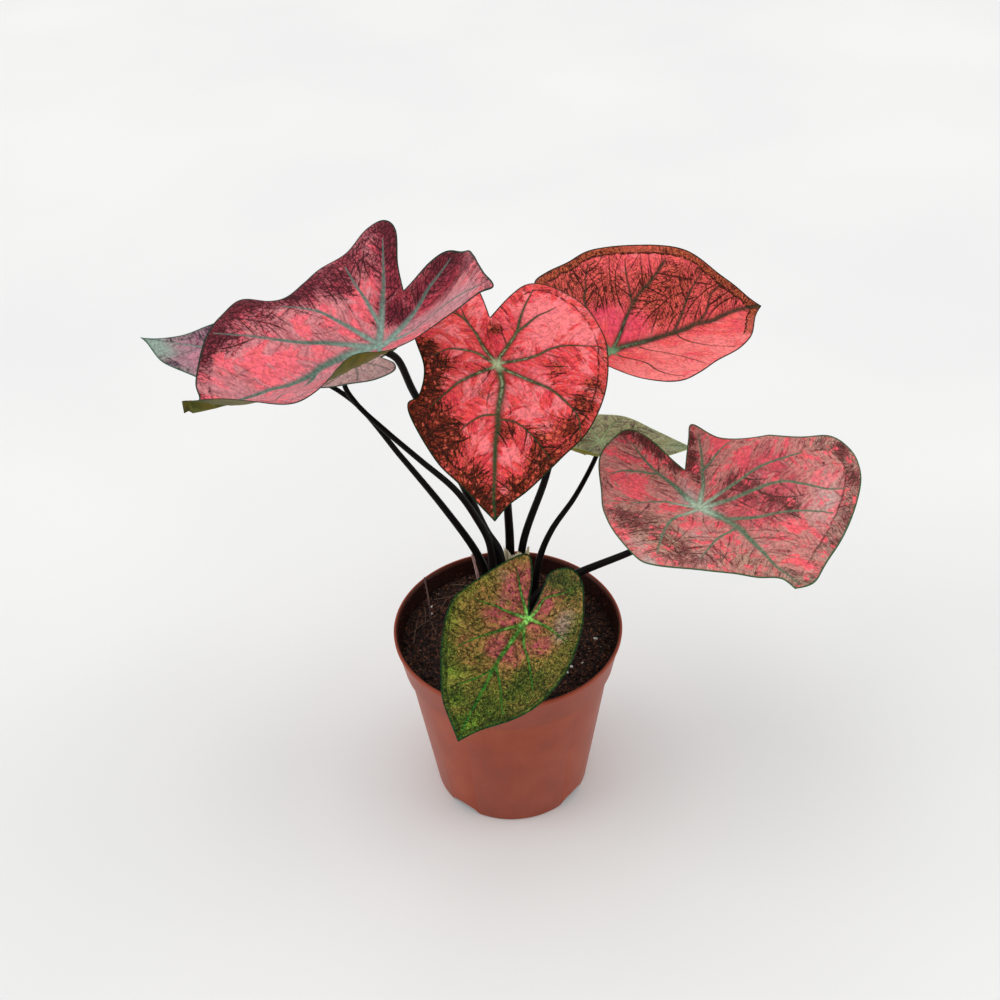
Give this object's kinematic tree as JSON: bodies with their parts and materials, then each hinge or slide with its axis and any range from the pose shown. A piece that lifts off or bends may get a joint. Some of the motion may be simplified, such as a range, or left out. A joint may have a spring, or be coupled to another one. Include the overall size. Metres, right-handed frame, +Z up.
{
  "type": "potted caladium plant",
  "caption": "Potted caladium: heart-shaped, veined leaves in red, pink and green on long dark stalks that rise from soil in a tapered plastic nursery pot with a deep rim collar.",
  "frame": {"origin": "centre of the pot's flat underside, on the surface that it stands on", "axes": "+Z up the pot's axis, -Y to the side from which the plant is viewed, +X to the viewer's right"},
  "size_m": [0.3382, 0.1958, 0.3327],
  "materials": {
    "pot": "terracotta-coloured polypropylene, satin, vertical flow marks",
    "soil": "moist peat mix, matt, crumbly",
    "tuber": "corky brown skin",
    "sheath": "dry papery leaf scale",
    "dried_stalk": "dried stalk, pinkish brown",
    "stalk": "near-black smooth petiole, satin",
    "leaf_rose": "live leaf: dusty pink-red blade, grey-green veins, dark green margin",
    "leaf_pale": "live leaf: pale rose blade with grey-green margin",
    "leaf_coral": "live leaf: coral-red blotches in a dark brown-green net, green veins",
    "leaf_grey_green": "live leaf: grey-green with purple-grey mottling",
    "leaf_green": "live leaf: bronze green with pink flecks, bright green veins"
  },
  "bodies": {
    "root": {"pot": "pot", "soil": "soil", "tuber": "tuber", "crown_sheath": "sheath", "old_stalk_1": "dried_stalk", "old_stalk_2": "dried_stalk", "blade_upper_left": "leaf_rose", "stalk_upper_left": "stalk", "blade_far_left": "leaf_pale", "stalk_far_left": "stalk", "blade_lower_left": "leaf_pale", "stalk_lower_left": "stalk", "blade_centre": "leaf_coral", "stalk_centre": "stalk", "blade_upper_right": "leaf_coral", "stalk_upper_right": "stalk", "blade_right": "leaf_rose", "stalk_right": "stalk", "blade_middle_right": "leaf_grey_green", "stalk_middle_right": "stalk", "blade_front": "leaf_green", "stalk_front": "stalk"}
  },
  "joints": []
}
